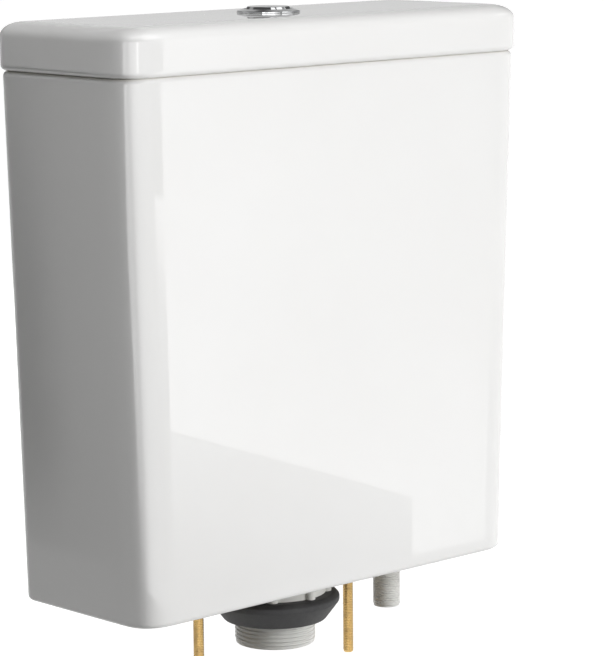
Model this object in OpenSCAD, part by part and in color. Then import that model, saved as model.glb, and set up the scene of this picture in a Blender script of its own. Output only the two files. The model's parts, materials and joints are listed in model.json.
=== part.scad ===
// Close coupled toilet cistern: a glazed tank with a lift-off lid, a two part push button,
// a dual flush valve with an overflow tube, and a float valve fed through the floor.
// Millimetres, +Z up. The origin is the centre of the flush outlet on the tank's underside.
// The front faces -Y and the wall stands at +Y.

/* [Tank] */
// Outside width at the rim
tank_w = 386; // [380:1:430]
// Outside depth at the rim
tank_d = 139; // [134:1:170]
// Height from the underside to the rim
tank_h = 376.6; // [360:0.2:430]
// How far each side draws in towards the underside
side_taper = 11.4; // [0:0.2:16]
// How far the front draws in towards the underside
front_taper = 2.2; // [0:0.2:6]
// Thickness of the walls
wall_t = 10; // [8:0.5:12]
// Thickness of the floor
floor_t = 12; // [9:0.5:16]
// Reach of the front corners' rounding in plan
front_corner_r = 30; // [20:0.5:36]
// How square that rounding is: 2 is a quarter circle
corner_power = 3; // [2:0.25:4]
// Plan radius of the back corners
back_corner_r = 13; // [8:0.5:24]
// Rounding along the rim and the bottom edge
edge_r = 3.5; // [2:0.5:5]
// Rounding inside, where the walls meet the floor
cove_r = 8; // [4:0.5:14]

/* [Lid] */
// Height of the lid above its buffers
lid_h = 33.8; // [28:0.2:40]
// Thickness of the lid's top
lid_top_t = 12; // [9:0.5:14]
// How far the lid stands out past the sides and the front of the tank
lid_over = 1.8; // [0:0.2:5]
// Reach of the rounding along the lid's top edge, inwards
lid_round_w = 15; // [6:0.5:20]
// Reach of that rounding downwards
lid_round_h = 9; // [5:0.5:14]
// Rounding along the lid's bottom edge
lid_foot_r = 4; // [2:0.5:5]
// Depth of the lip that reaches into the tank
lip_h = 7; // [4:0.5:12]
// Thickness of that lip
lip_t = 5; // [3:0.5:8]
// Room between the lip and the tank's walls
lip_room = 2; // [1:0.25:4]
// Thickness of the buffers between the lid and the rim
buffer_t = 0.4; // [0.3:0.1:2]
// Distance of the buffers from the middle
buffer_x = 110; // [60:1:150]

/* [Push buttons] */
// Diameter of the bezel
bezel_d = 45.4; // [45:0.2:52]
// Height of the bezel on the lid
bezel_t = 2.8; // [2:0.1:4]
// Diameter of the two buttons together
button_d = 34; // [33:0.5:34.5]
// Height of the buttons above the lid
button_rise = 4.75; // [4.5:0.25:9]
// How far a button goes down
button_travel = 7; // [5:0.5:8]
// Distance of the split between the buttons from the middle
split_x = 6; // [4:0.5:6.5]
// Thickness of the nut under the lid
button_nut_t = 8; // [5:0.5:12]
// Thickness of the foam gasket above that nut
gasket_t = 1.5; // [1:0.25:3]
// Diameter of the push rods
rod_d = 4; // [3:0.2:4.4]

/* [Flush valve] */
// Diameter of the outlet's threaded tail
tail_d = 59.6; // [57:0.2:61]
// Bore of the outlet
outlet_d = 50; // [44:0.5:52]
// Length of the tail below the tank
tail_len = 52; // [46:1:70]
// Diameter of the hole for the tail in the tank's floor
outlet_hole_d = 64; // [62:0.5:70]
// Diameter of the seat's flange
flange_d = 92; // [89:0.5:96]
// Thickness of the washer under the flange
flush_washer_t = 4; // [2:0.5:6]
// Thickness of the tail's nut
flush_nut_t = 14; // [8:0.5:18]
// Height of the coupling seal below the nut
coupling_seal_h = 20; // [12:1:26]
// Height of the cage with the ports
cage_h = 62; // [58:1:80]
// Width of a port
port_w = 27; // [16:1:30]
// Outside diameter of the overflow tube
overflow_d = 30; // [26:0.5:32]
// Wall of the overflow tube
overflow_wall = 2.5; // [1.5:0.25:4]
// Diameter of the flush seal
seal_d = 70; // [66:0.5:74]
// Height of the rocker pivots above the tank's underside
pivot_z = 292; // [280:1:310]
// Distance of each rocker's pivot from the middle
pivot_x = 6; // [5:0.5:8]
// Distance of each rocker's lifting end from the middle
lift_x = 42; // [40:0.5:46]
// Height of the floats on the lifting links
link_float_h = 40; // [24:1:44]

/* [Fill valve] */
// Distance of the fill valve from the flush valve
fill_x = 116; // [112:1:118]
// Diameter of the inlet's threaded tail
inlet_d = 20.9; // [18:0.1:24]
// Bore of the inlet
inlet_bore = 13; // [9:0.5:14]
// Length of the tail below the tank
inlet_len = 46; // [36:1:60]
// Thickness of the tail's nut
inlet_nut_t = 12; // [8:0.5:16]
// Outside diameter of the riser
riser_d = 26; // [24:0.5:28]
// Height of the top of the valve's head above the tank's underside
head_z = 262; // [240:1:290]
// Diameter of the float
float_d = 60; // [50:1:62]
// Height of the float
float_h = 58; // [40:1:70]
// How far the float rises
float_travel = 12; // [8:0.5:14]
// Room between the float's link and the tank's wall
link_room = 7; // [6.5:0.1:8]

/* [Fixings] */
// Distance between the coupling bolts
bolt_pitch = 150; // [136:1:156]
// Thread diameter of the coupling bolts
bolt_d = 8; // [6:0.5:10]
// Length of the bolts below the tank
bolt_len = 75; // [50:1:90]
// Distance between the wall screw holes
screw_pitch = 250; // [150:1:280]
// Height of the wall screw holes
screw_z = 330; // [280:1:350]
// Diameter of the wall screw holes
screw_d = 8.5; // [5:0.5:10]

/* [Hidden] */

$fn = 64;
hull_fn = 32;
// Overshoot of a cut past the face it opens
cut = 1;
// Thickness of the slices that a hull is drawn over
sliver = 0.01;
// Gap between faces that move past each other
gap = 0.3;
// Play of a pin, sleeve or thread in its hole
fit = 0.05;
// Steps in a rounded edge
edge_steps = 4;
// Least plan radius of a corner
least_r = 2;
// Steps in a front corner's rounding
corner_steps = 6;

// Tank
back_y = tank_d / 2;
function half_w(z) = tank_w / 2 - side_taper * (1 - z / tank_h);
function front_y(z) = -tank_d / 2 + front_taper * (1 - z / tank_h);
// Rounding of an edge at one step: how far it draws in, and how far along the height
function drawn_in(r, step) = r * (1 - sin(90 * step / edge_steps));
function along(r, step) = r * (1 - cos(90 * step / edge_steps));
// Point on the front corners' rounding, of unit reach, where it faces a direction between 0 and 90 degrees
function corner_rise(facing) = pow(tan(facing), 1 / (corner_power - 1));
function corner_reach(facing) = pow(1 + pow(corner_rise(facing), corner_power), -1 / corner_power);
function corner_point(facing) = facing == 90 ? [0, 1] : corner_reach(facing) * [1, corner_rise(facing)];

// Lid
lid_z0 = tank_h + buffer_t;
lid_z1 = lid_z0 + lid_h;
ceiling_z = lid_z1 - lid_top_t;
lid_half_w = tank_w / 2 + lid_over;
lid_front_y = -tank_d / 2 - lid_over;
lip_inset = wall_t + lip_room;
hollow_inset = lip_inset + lip_t;
lip_chamfer = 1;
lid_cove_r = 6;
// The buffers lie on the flat band of the rim, between its rounding and the inside of the wall
rim_mid = (edge_r + wall_t) / 2;
buffer_room = 0.75;
buffer_r = (wall_t - edge_r) / 2 - buffer_room;

// Push buttons
bezel_r = bezel_d / 2;
bezel_wall = 1.2;
button_r = button_d / 2;
button_lip = 0.7;
button_bevel = 2;
button_crown = 0.4;
button_rim = 1.4;
puck_depth = 3;
skirt_t = 1.2;
skirt_room = 2;
shoulder_depth = 3.5;
guide_r = button_r + gap;
// The bezel slopes over this share of its width
bezel_slope_share = 0.8;
bezel_slope = bezel_slope_share * (bezel_r - guide_r);
sleeve_in_r = button_r + button_lip + gap;
sleeve_wall = 1.6;
sleeve_r = sleeve_in_r + sleeve_wall;
sleeve_flange_r = bezel_r - bezel_wall;
sleeve_flange_t = 1.2;
sleeve_floor_t = 3;
thread_spare = 10;
gasket_z = ceiling_z - gasket_t;
button_nut_z = gasket_z - button_nut_t;
button_nut_wall = 6;
button_nut_r = sleeve_r + button_nut_wall;
sleeve_z = button_nut_z - thread_spare;
sleeve_floor_z = sleeve_z + sleeve_floor_t;
button_hole_r = sleeve_r + 2 * gap;
skirt_z = sleeve_floor_z + button_travel + skirt_room;

// Return springs
wire_r = 0.4;
coil_room = 0.7;
coil_r = rod_d / 2 + coil_room + wire_r;
coil_turns = 7;
rings_per_turn = 8;
wire_sides = 6;
coil_z0 = sleeve_floor_z + gap + wire_r;
coil_z1 = lid_z1 - puck_depth - gap - wire_r;
coil_pitch = (coil_z1 - coil_z0) / coil_turns;
coil_rings = coil_turns * rings_per_turn;
// A point on the spring's centre line, t turns up
function coil_centre(t) = [coil_r * cos(360 * t), coil_r * sin(360 * t), t * coil_pitch];
// A point on the wire's skin, at a side of the ring that is t turns up
function coil_skin(t, side) =
    let (a = 360 * side / wire_sides, r = coil_r + wire_r * cos(a))
    [r * cos(360 * t), r * sin(360 * t), t * coil_pitch + wire_r * sin(a)];
coil_line = [for (k = [0 : coil_rings]) coil_centre(k / rings_per_turn)];
coil_least_gap = min([
    for (i = [0 : coil_rings], j = [i + rings_per_turn / 2 : coil_rings])
        norm(coil_line[i] - coil_line[j])
]) - 2 * wire_r;
echo(str("button springs: least gap between curls ", coil_least_gap, " mm"));

// Rockers and the head that carries them
pin_r = 2;
pin_head = 1.2;
rocker_t = 5;
rocker_half = 4;
cheek_t = 2.4;
cheek_room = 0.5;
hub_r = 6.5;
rocker_y = cheek_t / 2 + cheek_room + rocker_t / 2;
cheek_y = rocker_y + rocker_t / 2 + cheek_room + cheek_t / 2;
rod_wall_room = 0.6;
rod_reach = button_r - skirt_t - coil_r - wire_r - rod_wall_room;
rod_x = sqrt(rod_reach * rod_reach - rocker_y * rocker_y);
press_arm = rod_x + pivot_x;
pad_over = 3;
lift_arm = lift_x - pivot_x;
rocker_swing = asin(button_travel / press_arm);
// The links rise a little more than the rockers' ends, so that they never lag behind them
lift_lead = 0.4;
lift_rise = lift_arm * sin(rocker_swing) + lift_lead;
head_t = 5;
head_r = 36;
head_room = 1;
head_top = pivot_z - (press_arm + pad_over) * sin(rocker_swing) - rocker_half - head_room;
head_bottom = head_top - head_t;
rod_foot_room = 0.4;
rod_foot_z = pivot_z + rocker_half + rod_foot_room;
rod_foot_h = 10;
rod_foot_r = rocker_t / 2;
rod_screw = 5;

// Flush valve body
tail_r = tail_d / 2;
// Where a nut, seal or washer sits on a thread, the thread is drawn at its pitch radius
tail_thread = 0.7;
tail_neck_r = tail_r - tail_thread;
tail_neck_len = flush_nut_t + coupling_seal_h;
outlet_r = outlet_d / 2;
flange_r = flange_d / 2;
flange_over = 3;
flush_washer_r = flange_r - flange_over;
flange_t = 5;
flange_z0 = floor_t + flush_washer_t;
flange_z1 = flange_z0 + flange_t;
seat_rise = 4;
seat_z = flange_z1 + seat_rise;
seat_over = 1.2;
seat_r = tail_r + seat_over;
seat_w = 1.6;
cage_ledge = 2.5;
cage_r = flange_r - cage_ledge;
cage_wall = 3;
cage_plate_t = 4;
cage_z1 = flange_z1 + cage_h;
port_rim = 4;
port_h = cage_h - cage_plate_t - port_w / 2 - 2 * port_rim;
port_z = flange_z1 + port_rim;
port_count = 6;
tube_r = overflow_d / 2;
guide_room = 0.5;
tube_guide_r = tube_r + guide_room;
guide_collar_h = 14;
guide_wall = 2.5;
guide_collar_r = tube_guide_r + guide_wall;
tower_ring_t = 4;
tower_r = 33;
tower_wall = 4;
tower_ledge = 2;
tower_foot_r = cage_r - tower_ledge;
// The posts are a little thinner than the rings between which they stand
post_inset = 0.5;
post_z0 = cage_z1 + tower_ring_t;
post_z1 = head_bottom - tower_ring_t;
tower_span = 48;
ladder_pitch = 14;
ladder_slot_w = 12;
ladder_slot_h = 6;
flush_nut_wall = 8;
flush_nut_r = tail_r + flush_nut_wall;
soft_foot_r = flush_nut_r;
soft_swell = 10;
soft_swell_r = flush_nut_r + soft_swell;
soft_bevel = 3;
nut_lobes = 8;
nut_lobe_r = 4;

// Overflow tube, its seal and the links that lift it
seal_t = 4;
seal_z = seat_z + gap;
retainer_t = 4;
tube_flange_w = 9;
tube_flange_r = tube_r + tube_flange_w;
tube_flange_t = 3;
retainer_r = tube_flange_r - tube_flange_t;
tube_foot = 1;
tube_z0 = seal_z - retainer_t - tube_foot;
tube_head_room = 4;
tube_z1 = head_bottom - 2 * lift_rise - tube_head_room;
ring_t = 4;
ring_h = 10;
ring_drop = 6;
full_ring_z = tube_z1 - ring_drop - ring_h;
half_ring_z = full_ring_z - gap - ring_h;
strap_t = 4;
strap_w = 10;
strap_room = 0.8;
strap_x = lift_x + rocker_half + strap_room;
hook_z = pivot_z + rocker_half + gap;
hook_t = 5;
hook_in = 8;
link_float_w = 28;
link_float_d = 34;
link_float_wall = 1.6;
link_float_corner = 6;
link_float_room = 8;
float_stagger = 50;
full_float_z = cage_z1 + tower_ring_t + link_float_room;
half_float_z = full_float_z + float_stagger;

// Fill valve
inlet_r = inlet_d / 2;
inlet_thread = 0.55;
inlet_neck_r = inlet_r - inlet_thread;
inlet_bore_r = inlet_bore / 2;
inlet_hole_room = 1;
inlet_hole_r = inlet_r + inlet_hole_room;
inlet_nut_wall = 7;
inlet_nut_r = inlet_r + inlet_nut_wall;
inlet_collar_over = 1;
inlet_collar_r = inlet_nut_r + inlet_collar_over;
fill_washer_t = 3;
fill_flange_r = 18;
fill_flange_over = 1;
fill_washer_r = fill_flange_r - fill_flange_over;
fill_flange_t = 4;
fill_flange_z = floor_t + fill_washer_t;
riser_r = riser_d / 2;
riser_wall = 3;
shank_room = 0.4;
shank_r = riser_r - riser_wall - shank_room;
riser_rise = 26;
riser_z0 = fill_flange_z + fill_flange_t + riser_rise;
riser_lap = 50;
lock_h = 14;
lock_wall = 4;
head_h = 28;
head_wall = 4.5;
head_r_out = riser_r + head_wall;
head_z0 = head_z - head_h;
socket_depth = 14;
outlet_slot_w = 6;
outlet_slot_h = 5;
diaphragm_t = 2.8;
diaphragm_room = 3.5;
diaphragm_r = head_r_out - diaphragm_room;
cap_wall = 2.5;
cap_r = head_r_out + cap_wall;
cap_skirt = 7;
cap_t = 5;
cap_z1 = head_z + cap_t;
cap_ribs = 16;
rib_r = 0.8;
nozzle_h = 1.5;
nozzle_r = 2.2;
lever_w = 6;
lever_half = 3;
lever_pivot_x = 13;
lever_rise = 8;
lever_pivot_z = cap_z1 + lever_rise;
lever_pin_r = 1.5;
lever_pin_over = 0.5;
float_room = 4;
float_z1 = head_z0 - float_travel - float_room;
float_z0 = float_z1 - float_h;
float_r = float_d / 2;
float_bore_r = riser_r + 2 * gap;
float_wall = 1.6;
float_edge = 3;
float_ear_t = 4;
float_ear_w = 9;
float_ear_over = 5;
float_ear_x = float_r - 2 * float_edge;
float_ear_z1 = float_z1 - float_edge / 4;
float_ear_z0 = float_ear_z1 - float_ear_t;
// The link hangs as near the wall as its room allows, and the lever reaches out to it
link_off = half_w(float_ear_z0) - wall_t - link_room - fill_x;
link_x = link_off - lever_pivot_x;
lever_drop = atan(float_travel / link_x);
ear_t = 2.4;
ear_room = 0.4;
ear_r = 4;
ear_y = lever_w / 2 + ear_room + ear_t / 2;
link_pin_r = 1.5;
slot_play = 0.35;
slot_r = link_pin_r + slot_play;
slot_room = 0.6;
slot_x0 = link_x - slot_room;
slot_x1 = link_x / cos(lever_drop) + slot_room;
eye_wall = 2.6;
lever_eye_r = slot_r + eye_wall;
link_pin_z = lever_pivot_z - float_travel;
link_r = 1.6;
fork_room = 0.4;
fork_t = 2;
fork_half = 4;
fork_drop = 12;
fork_bridge = 4;
float_nut_r = 4.5;
float_nut_h = 5;
link_tail = 4;
filter_h = 16;
filter_wall = 1;

// Fixings
bolt_r = bolt_d / 2;
bolt_thread = 0.4;
bolt_neck_r = bolt_r - bolt_thread;
bolt_hole_room = 1.5;
bolt_hole_r = bolt_r + bolt_hole_room;
bolt_head_over = 4;
bolt_head_r = bolt_r + bolt_head_over;
bolt_head_h = 5;
bolt_seal_t = 4;
bolt_seal_w = 9;
bolt_seal_r = bolt_r + bolt_seal_w;
bolt_washer_t = 1.5;
bolt_washer_w = 7;
bolt_washer_r = bolt_r + bolt_washer_w;
washer_room = 0.2;
bolt_seat_z = floor_t + bolt_seal_t + bolt_washer_t;
// The thread ends just inside the floor
bolt_thread_in = 1;
screw_inset = 2 * wall_t;

// A ring with a vertical axis, from height z
module ring(z, h, r_out, r_in) {
    translate([0, 0, z]) difference() {
        cylinder(h = h, r = r_out);
        translate([0, 0, -cut]) cylinder(h = h + 2 * cut, r = r_in);
    }
}

// A rectangle with round corners about the middle
module round_rect(w, d, r) {
    square([w, d - 2 * r], center = true);
    square([w - 2 * r, d], center = true);
    for (x = [-1, 1], y = [-1, 1]) translate([x * (w / 2 - r), y * (d / 2 - r)]) circle(r);
}

// A flat shape drawn in X and Z, given a thickness along Y about its own plane
module upright(t) {
    rotate([90, 0, 0]) linear_extrude(height = t, center = true) children();
}

// A quarter of the front corners' rounding, with its square inner corner at the origin
module corner_plan(reach) {
    polygon([
        [0, 0],
        for (step = [0 : corner_steps]) reach * corner_point(90 * step / corner_steps)
    ]);
}

// Thin slices of the four corners of a plan that is drawn in by inset
module plan_corners(z, half, front, back, front_r, back_r, inset) {
    rf = max(front_r - inset, least_r);
    rb = max(back_r - inset, least_r);
    for (side = [-1, 1]) {
        translate([side * (half - inset - rf), front + inset + rf, z])
            scale([side, -1, 1]) linear_extrude(height = sliver) corner_plan(rf);
        translate([side * (half - inset - rb), back - inset - rb, z])
            cylinder(h = sliver, r = rb, $fn = hull_fn);
    }
}

// The tank's plan at a height, with its taper
module tank_slice(z, inset) {
    plan_corners(z, half_w(z), front_y(z), back_y, front_corner_r, back_corner_r, inset);
}

// The rim's plan, carried straight up
module rim_slice(z, inset) {
    plan_corners(z, tank_w / 2, -tank_d / 2, back_y, front_corner_r, back_corner_r, inset);
}

// The lid's plan, which stands out past the rim at the sides and the front
module lid_slice(z, inset) {
    plan_corners(z, lid_half_w, lid_front_y, back_y, front_corner_r + lid_over, back_corner_r, inset);
}

module at_bolts() {
    for (side = [-1, 1]) translate([side * bolt_pitch / 2, 0, 0]) children();
}

module tank() color("white") difference() {
    hull() for (step = [0 : edge_steps]) {
        tank_slice(along(edge_r, step), drawn_in(edge_r, step));
        tank_slice(tank_h - sliver - along(edge_r, step), drawn_in(edge_r, step));
    }
    hull() {
        for (step = [0 : edge_steps]) {
            tank_slice(floor_t + along(cove_r, step), wall_t + drawn_in(cove_r, step));
        }
        tank_slice(tank_h + cut, wall_t);
    }
    translate([0, 0, -cut]) cylinder(h = floor_t + 2 * cut, d = outlet_hole_d);
    translate([fill_x, 0, -cut]) cylinder(h = floor_t + 2 * cut, r = inlet_hole_r);
    at_bolts() translate([0, 0, -cut]) cylinder(h = floor_t + 2 * cut, r = bolt_hole_r);
    for (side = [-1, 1]) translate([side * screw_pitch / 2, back_y - screw_inset, screw_z])
        rotate([-90, 0, 0]) cylinder(h = screw_inset + cut, d = screw_d);
}

module lid() color("white") difference() {
    union() {
        hull() for (step = [0 : edge_steps]) {
            lid_slice(lid_z0 + along(lid_foot_r, step), drawn_in(lid_foot_r, step));
            lid_slice(lid_z1 - sliver - along(lid_round_h, step), drawn_in(lid_round_w, step));
        }
        hull() {
            rim_slice(lid_z0 - lip_h, lip_inset + lip_chamfer);
            rim_slice(lid_z0 - lip_h + lip_chamfer, lip_inset);
            rim_slice(lid_z0 + lid_foot_r, lip_inset);
        }
    }
    hull() {
        rim_slice(lid_z0 - lip_h - cut, hollow_inset);
        for (step = [0 : edge_steps]) {
            z = ceiling_z - sliver - along(lid_cove_r, step);
            rim_slice(z, hollow_inset + drawn_in(lid_cove_r, step));
        }
    }
    translate([0, 0, ceiling_z - cut]) cylinder(h = lid_top_t + 2 * cut, r = button_hole_r);
}

module lid_buffers() color("lightgrey") {
    for (side = [-1, 1], y = [front_y(tank_h) + rim_mid, back_y - rim_mid]) {
        translate([side * buffer_x, y, tank_h]) cylinder(h = buffer_t, r = buffer_r);
    }
}

module button_bezel() color("silver") translate([0, 0, lid_z1]) rotate_extrude() polygon([
    [guide_r, sleeve_flange_t + fit],
    [sleeve_flange_r + fit, sleeve_flange_t + fit],
    [sleeve_flange_r + fit, 0],
    [bezel_r, 0],
    [bezel_r, bezel_t / 2],
    [bezel_r - bezel_slope, bezel_t],
    [guide_r + bezel_t / 4, bezel_t],
    [guide_r, bezel_t * 3 / 4]
]);

// Threaded sleeve through the lid, with a shoulder that keeps the buttons in and a floor for the springs
module button_sleeve() color("gainsboro") difference() {
    rotate_extrude() polygon([
        [0, sleeve_z],
        [sleeve_r, sleeve_z],
        [sleeve_r, lid_z1],
        [sleeve_flange_r, lid_z1],
        [sleeve_flange_r, lid_z1 + sleeve_flange_t],
        [guide_r, lid_z1 + sleeve_flange_t],
        [guide_r, lid_z1 - shoulder_depth],
        [sleeve_in_r, lid_z1 - shoulder_depth],
        [sleeve_in_r, sleeve_floor_z],
        [0, sleeve_floor_z]
    ]);
    for (turn = [0, 180]) rotate(turn) translate([rod_x, -rocker_y, sleeve_z - cut])
        cylinder(h = sleeve_floor_t + 2 * cut, r = rod_d / 2 + gap + fit);
}

module button_nut() color("gainsboro") difference() {
    union() {
        translate([0, 0, button_nut_z]) cylinder(h = button_nut_t, r = button_nut_r);
        for (lobe = [1 : nut_lobes]) rotate(lobe * 360 / nut_lobes)
            translate([button_nut_r, 0, button_nut_z]) cylinder(h = button_nut_t, r = nut_lobe_r / 2);
    }
    translate([0, 0, button_nut_z - cut]) cylinder(h = button_nut_t + 2 * cut, r = sleeve_r + fit);
}

module button_gasket() color("dimgrey") ring(gasket_z, gasket_t, button_nut_r, sleeve_r + gap);

// Both buttons before the split: a bevelled, slightly crowned puck on a skirt with a lip
module button_puck() {
    translate([0, 0, lid_z1]) rotate_extrude() polygon([
        [0, -puck_depth],
        [button_r - skirt_t, -puck_depth],
        [button_r - skirt_t, skirt_z - lid_z1],
        [button_r + button_lip, skirt_z - lid_z1],
        [button_r + button_lip, -shoulder_depth - gap],
        [button_r, -shoulder_depth - gap],
        [button_r, button_rim],
        [button_r - button_bevel, button_rise - button_crown],
        [button_r / 2, button_rise - button_crown / 4],
        [0, button_rise]
    ]);
}

// One button: what lies on one side of the split, with the blind hole for its rod
module button_share(turn, from_x, to_x) difference() {
    intersection() {
        button_puck();
        translate([from_x, -button_d, skirt_z - cut])
            cube([to_x - from_x, 2 * button_d, lid_z1 + button_rise - skirt_z + 2 * cut]);
    }
    rotate(turn) translate([rod_x, -rocker_y, lid_z1 - puck_depth - cut])
        cylinder(h = rod_screw + cut, r = rod_d / 2 + fit);
}

module full_button() color("silver") button_share(0, gap - split_x, button_d);

module half_button() color("silver") button_share(180, -button_d, -split_x - gap);

module coil_spring(turn) {
    points = [for (k = [0 : coil_rings], s = [0 : wire_sides - 1]) coil_skin(k / rings_per_turn, s)];
    walls = [for (k = [0 : coil_rings - 1], s = [0 : wire_sides - 1])
        let (a = k * wire_sides + s, b = k * wire_sides + (s + 1) % wire_sides)
        each [[a, b, b + wire_sides], [a, b + wire_sides, a + wire_sides]]];
    last = coil_rings * wire_sides;
    foot = [for (s = [1 : wire_sides - 2]) [0, s + 1, s]];
    top = [for (s = [1 : wire_sides - 2]) [last, last + s, last + s + 1]];
    rotate(turn) translate([rod_x, -rocker_y, coil_z0])
        polyhedron(points = points, faces = concat(walls, foot, top));
}

module full_spring() color("lightsteelblue") coil_spring(0);

module half_spring() color("lightsteelblue") coil_spring(180);

// Rod from a button down to its rocker, with a round foot
module push_rod() {
    translate([0, 0, rod_foot_z + rod_foot_r]) {
        sphere(r = rod_foot_r);
        cylinder(h = rod_foot_h - rod_foot_r, r = rod_foot_r);
        cylinder(h = lid_z1 - puck_depth + rod_screw - fit - rod_foot_z - rod_foot_r, d = rod_d);
    }
}

module full_push_rod() color("whitesmoke") translate([rod_x, -rocker_y, 0]) push_rod();

module half_push_rod() color("whitesmoke") translate([-rod_x, rocker_y, 0]) push_rod();

// Valve seat on its flange, with the threaded outlet tail below
module flush_base() color("whitesmoke") rotate_extrude() polygon([
    [outlet_r, -tail_len],
    [tail_r, -tail_len],
    [tail_r, -tail_neck_len],
    [tail_neck_r, -tail_neck_len],
    [tail_neck_r, flange_z0],
    [flange_r, flange_z0],
    [flange_r, flange_z1],
    [seat_r + seat_w + seat_rise / 4, flange_z1],
    [seat_r + seat_w, seat_z],
    [seat_r, seat_z],
    [outlet_r, flange_z0]
]);

module flush_washer() color("dimgrey") ring(floor_t, flush_washer_t, flush_washer_r, tail_neck_r + fit);

module flush_nut() color("whitesmoke") difference() {
    union() {
        translate([0, 0, -flush_nut_t]) cylinder(h = flush_nut_t, r = flush_nut_r);
        for (lobe = [1 : nut_lobes]) rotate(lobe * 360 / nut_lobes)
            translate([flush_nut_r, 0, -flush_nut_t]) cylinder(h = flush_nut_t, r = nut_lobe_r);
    }
    translate([0, 0, -flush_nut_t - cut]) cylinder(h = flush_nut_t + 2 * cut, r = tail_neck_r + fit);
}

// Tapered ring of soft rubber that seals the tail to what it is coupled to
module coupling_seal() color("dimgrey") translate([0, 0, -flush_nut_t]) rotate_extrude() polygon([
    [tail_neck_r + fit, -coupling_seal_h],
    [soft_foot_r, -coupling_seal_h],
    [soft_swell_r, -coupling_seal_h / 3],
    [soft_swell_r, -soft_bevel],
    [soft_swell_r - soft_bevel, 0],
    [tail_neck_r + fit, 0]
]);

// Cage round the seat, with arched ports and a collar that guides the overflow tube
module flush_cage() color("white") difference() {
    union() {
        ring(flange_z1, cage_h, cage_r, cage_r - cage_wall);
        ring(cage_z1 - cage_plate_t, cage_plate_t, cage_r, tube_guide_r);
        ring(cage_z1 - cage_plate_t, guide_collar_h, guide_collar_r, tube_guide_r);
    }
    for (port = [1 : port_count]) rotate(port * 360 / port_count) {
        translate([0, -port_w / 2, port_z]) cube([2 * cage_r, port_w, port_h]);
        translate([0, 0, port_z + port_h]) rotate([0, 90, 0]) cylinder(h = 2 * cage_r, d = port_w);
    }
}

// Ring on the cage that the posts stand on
module tower_foot() color("white") ring(cage_z1, tower_ring_t, tower_foot_r, tower_r - tower_wall);

// Two curved posts, each with a ladder of slots
module tower_posts() color("white") difference() {
    for (turn = [90, 270]) rotate(turn - tower_span / 2) rotate_extrude(angle = tower_span)
        translate([tower_r - tower_wall + post_inset, post_z0])
            square([tower_wall - 2 * post_inset, post_z1 - post_z0]);
    for (z = [post_z0 + 2 * ladder_pitch : ladder_pitch : post_z1 - 2 * ladder_pitch])
        translate([-ladder_slot_w / 2, -2 * tower_r, z])
            cube([ladder_slot_w, 4 * tower_r, ladder_slot_h]);
}

// An upright cheek of the head: a trapezium with two rounded bearings
module cheek(y) {
    rise = pivot_z - head_top;
    translate([0, y, head_top]) upright(cheek_t) difference() {
        union() {
            polygon([[-3 * pivot_x, 0], [3 * pivot_x, 0], [2 * pivot_x, rise], [-2 * pivot_x, rise]]);
            for (side = [-1, 1]) translate([side * pivot_x, rise]) circle(pivot_x);
        }
        for (side = [-1, 1]) translate([side * pivot_x, rise]) circle(pin_r + fit);
    }
}

// Plate that carries the rockers between three cheeks, with a ring below for the posts
module tower_head() color("lightsteelblue") {
    translate([0, 0, head_bottom]) cylinder(h = head_t, r = head_r);
    ring(post_z1, tower_ring_t + cut, tower_r, tower_r - tower_wall);
    for (y = [-cheek_y, 0, cheek_y]) cheek(y);
}

// Rocker about its own pivot: pressed at +X, lifting at -X
module rocker() {
    upright(rocker_t) difference() {
        union() {
            polygon([
                [-lift_arm, -rocker_half],
                [-lift_arm, rocker_half],
                [press_arm + pad_over, rocker_half],
                [press_arm + pad_over, -rocker_half],
                [0, -hub_r]
            ]);
            translate([-lift_arm, 0]) circle(rocker_half);
            translate([press_arm + pad_over, 0]) circle(rocker_half);
            circle(hub_r);
        }
        circle(pin_r + fit);
        translate([-lift_arm / 2, 0]) circle(rocker_half / 2);
    }
}

module full_rocker() color("steelblue") translate([-pivot_x, -rocker_y, pivot_z]) rocker();

module half_rocker() color("steelblue") translate([pivot_x, rocker_y, pivot_z]) rotate(180) rocker();

module rocker_pins() color("silver") {
    reach = cheek_y + cheek_t / 2;
    for (turn = [0, 180]) rotate(turn) translate([-pivot_x, -reach, pivot_z]) rotate([-90, 0, 0]) {
        cylinder(h = reach + cheek_t / 2, r = pin_r);
        translate([0, 0, -pin_head]) cylinder(h = pin_head, r = pin_r + pin_head);
    }
}

module overflow_tube() color("white") rotate_extrude() polygon([
    [tube_r - overflow_wall, tube_z0],
    [tube_r, tube_z0],
    [tube_r, seal_z + seal_t],
    [tube_flange_r, seal_z + seal_t],
    [tube_flange_r, seal_z + seal_t + tube_flange_t],
    [tube_r, seal_z + seal_t + 2 * tube_flange_t],
    [tube_r, tube_z1],
    [tube_r - overflow_wall, tube_z1]
]);

module flush_seal() color("firebrick") ring(seal_z, seal_t, seal_d / 2, tube_r + fit);

module seal_retainer() color("whitesmoke") {
    ring(seal_z - retainer_t, retainer_t, retainer_r, tube_r + fit);
}

// Lifting link: a ring on the overflow tube, an arm, a strap and a hook over a rocker's lifting end
module lift_link(ring_z, bore_r, strap_z) {
    ring(ring_z, ring_h, bore_r + ring_t, bore_r);
    translate([-strap_x - strap_t, -rocker_y - strap_w / 2, 0]) {
        translate([0, 0, ring_z]) cube([strap_x + strap_t - bore_r - ring_t / 3, strap_w, ring_h]);
        translate([0, 0, strap_z]) cube([strap_t, strap_w, hook_z + hook_t - strap_z]);
        translate([0, 0, hook_z]) cube([strap_x + strap_t - lift_x + hook_in, strap_w, hook_t]);
    }
}

module full_lift_link() color("gainsboro") lift_link(full_ring_z, tube_r + fit, full_float_z);

module half_lift_link() color("steelblue") rotate(180) {
    lift_link(half_ring_z, tube_r + gap + fit, half_float_z);
}

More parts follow.
